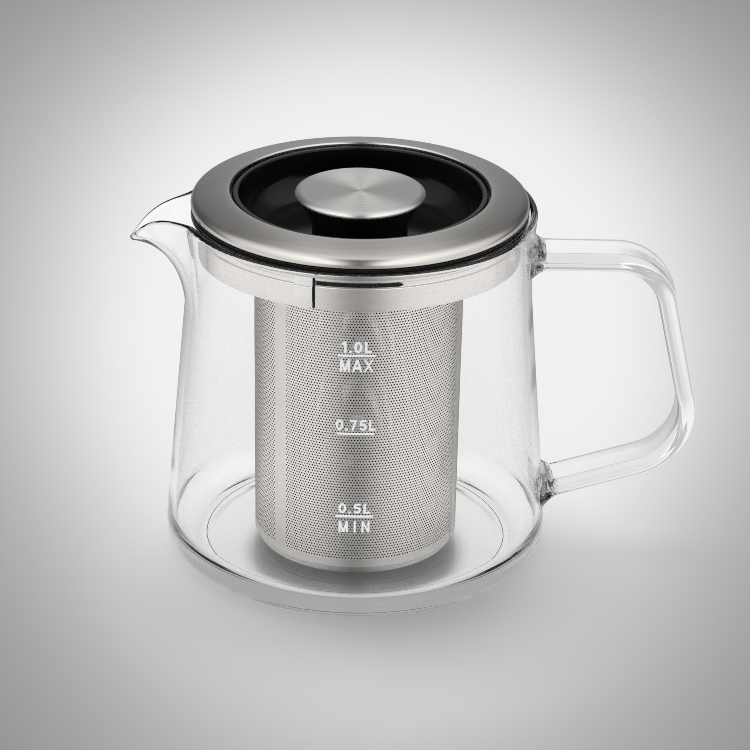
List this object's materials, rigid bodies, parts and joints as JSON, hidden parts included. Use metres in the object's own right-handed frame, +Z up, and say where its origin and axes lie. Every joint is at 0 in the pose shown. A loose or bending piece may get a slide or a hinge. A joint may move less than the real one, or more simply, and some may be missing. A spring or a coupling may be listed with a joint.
{
  "type": "glass teapot with infuser",
  "caption": "Glass teapot with pulled spout and strap handle, lift-out perforated steel basket and lift-off knob lid.",
  "frame": {"origin": "centre of the glass foot, on the surface that it stands on", "axes": "+Z up; the spout points to -X and the handle to +X; the level marks face -Y"},
  "size_m": [0.1907, 0.1298, 0.1286],
  "materials": {
    "jug_glass": "clear borosilicate glass, smooth",
    "handle_glass": "clear solid glass, faintly green in the depth",
    "infuser_steel": "satin stainless sheet",
    "collar_steel": "bright brushed stainless band",
    "perforated_steel": "finely perforated stainless sheet",
    "lid_steel": "satin stainless, brushed round the ring",
    "knob_steel": "spun-brushed stainless disc",
    "lid_plastic": "black moulded plastic, satin gloss",
    "seal_silicone": "black silicone, satin",
    "screw_steel": "plain bright steel",
    "level_print": "white ceramic level marks printed on the glass"
  },
  "bodies": {
    "jug": {"jug_body": "jug_glass", "handle_bar": "handle_glass", "upper_handle_weld": "handle_glass", "lower_handle_weld": "handle_glass"},
    "infuser": {"infuser_pan": "infuser_steel", "collar_band": "collar_steel", "collar_lap_plate": "collar_steel", "basket_wall": "perforated_steel", "basket_bottom": "infuser_steel"},
    "lid": {"lid_rim": "lid_steel", "lid_body": "lid_plastic", "lid_seal": "seal_silicone", "knob_stem": "lid_plastic", "knob_cap": "knob_steel", "knob_washer": "screw_steel", "knob_screw": "screw_steel"}
  },
  "joints": [
    {"name": "infuser_lift", "type": "slide", "parent": "jug", "child": "infuser", "axis": [0, 0, 1], "range_m": [0, 0.13]},
    {"name": "lid_lift", "type": "slide", "parent": "infuser", "child": "lid", "axis": [0, 0, 1], "range_m": [0, 0.05]}
  ]
}
